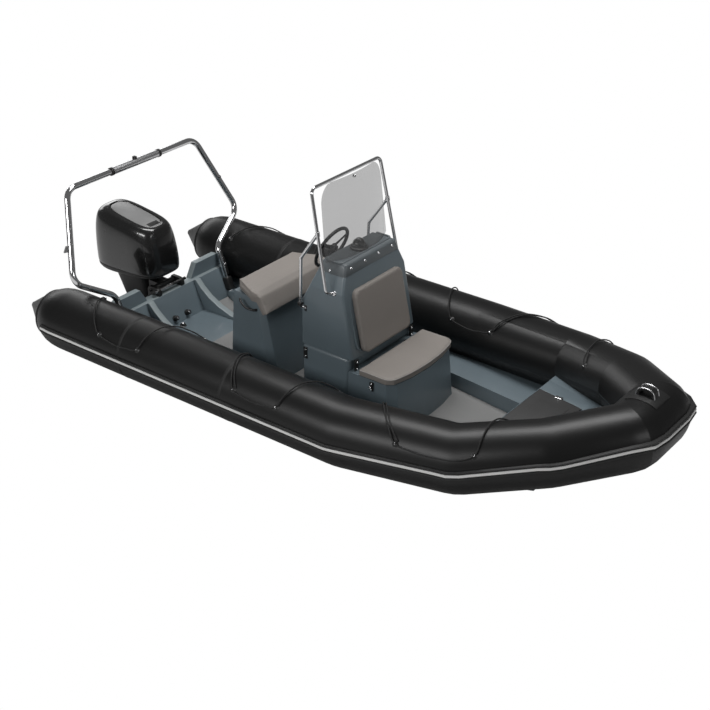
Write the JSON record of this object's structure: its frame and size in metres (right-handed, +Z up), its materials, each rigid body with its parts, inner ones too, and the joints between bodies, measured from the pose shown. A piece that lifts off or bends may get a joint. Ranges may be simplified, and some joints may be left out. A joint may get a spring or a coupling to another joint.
{
  "type": "rigid inflatable boat with outboard motor",
  "caption": "Rigid inflatable boat: deep-V hull, black tubes, centre console with screen, helm and bow seats, roll bar and tilting outboard motor.",
  "frame": {"origin": "on the waterline, on the centreline, at the middle of the transom board's thickness", "axes": "+X forward to the bow, +Y to port, +Z up"},
  "size_m": [5.434, 2.394, 2.513],
  "materials": {
    "gelcoat": "satin slate gelcoat on glass-fibre moulding",
    "nonskid": "light grey non-skid deck covering",
    "tube_fabric": "satin black coated fabric",
    "strake": "ribbed black rubber with a light grey stripe",
    "line": "black laid line",
    "stainless": "polished stainless steel",
    "sleeve": "satin stainless steel",
    "upholstery": "warm grey marine vinyl",
    "acrylic": "pale grey tinted acrylic sheet",
    "instrument": "black moulded plastic",
    "hatch": "charcoal moulded plastic",
    "motor_paint": "gloss black paint",
    "motor_parts": "satin black paint",
    "engine": "cast, closed inside"
  },
  "bodies": {
    "boat": {"hull_bottom": "gelcoat", "side_moulding_starboard": "gelcoat", "side_moulding_port": "gelcoat", "deck_floor": "nonskid", "transom": "gelcoat", "transom_knees": "gelcoat", "starboard_tube": "tube_fabric", "port_tube": "tube_fabric", "bow_tube": "tube_fabric", "rubbing_strake": "strake", "line_anchors": "stainless", "grab_line_starboard": "line", "grab_line_port": "line", "roll_bar": "stainless", "roll_bar_sleeve": "sleeve", "helm_seat_base": "gelcoat", "hinge_lugs": "stainless", "console_base": "gelcoat", "console_shell": "gelcoat", "backrest_cushion": "upholstery", "windscreen_frame": "stainless", "windscreen": "acrylic", "side_rails": "stainless", "compass": "instrument", "front_seat_box": "gelcoat", "bow_locker": "gelcoat", "bow_handle": "tube_fabric", "bow_eye": "stainless", "stern_eyes": "stainless", "clamp_bracket": "motor_parts"},
    "swivel": {"swivel_bracket": "motor_parts"},
    "motor": {"motor_leg": "motor_parts", "lower_unit": "motor_parts", "motor_pan": "motor_parts", "cowling": "motor_paint", "engine_block": "engine"},
    "propeller": {"propeller": "motor_parts"},
    "wheel": {"steering_wheel": "instrument"},
    "helm_lid": {"helm_seat_cushion": "upholstery"},
    "seat_lid": {"front_seat_cushion": "upholstery"},
    "hatch": {"bow_hatch": "hatch"}
  },
  "joints": [
    {"name": "motor_tilt", "type": "hinge", "parent": "boat", "child": "swivel", "pos_m": [-0.04, 0, 0.285], "axis": [0, 1, 0], "range_deg": [-4, 64]},
    {"name": "motor_steer", "type": "hinge", "parent": "swivel", "child": "motor", "pos_m": [-0.15, 0, 0.1], "axis": [0, 0, 1], "range_deg": [-30, 30]},
    {"name": "propeller_spin", "type": "hinge", "parent": "motor", "child": "propeller", "pos_m": [-0.68, 0, -0.545], "axis": [1, 0, 0], "continuous": true},
    {"name": "wheel_turn", "type": "hinge", "parent": "boat", "child": "wheel", "pos_m": [1.79, 0, 1.135], "axis": [0.9205, 0, -0.3907], "range_deg": [-640, 640]},
    {"name": "helm_seat_lift", "type": "hinge", "parent": "boat", "child": "helm_lid", "pos_m": [1.108, 0, 0.712], "axis": [0, -1, 0], "range_deg": [0, 80]},
    {"name": "front_seat_lift", "type": "hinge", "parent": "boat", "child": "seat_lid", "pos_m": [2.33, 0, 0.414], "axis": [0, -1, 0], "range_deg": [0, 58]},
    {"name": "bow_hatch_lift", "type": "hinge", "parent": "boat", "child": "hatch", "pos_m": [3.645, -0.306, 0.346], "axis": [0.9848, 0.1736, 0], "range_deg": [0, 95]}
  ],
  "couplings": [
    {"joint": "wheel_turn", "follows": "motor_steer", "ratio": 21}
  ]
}
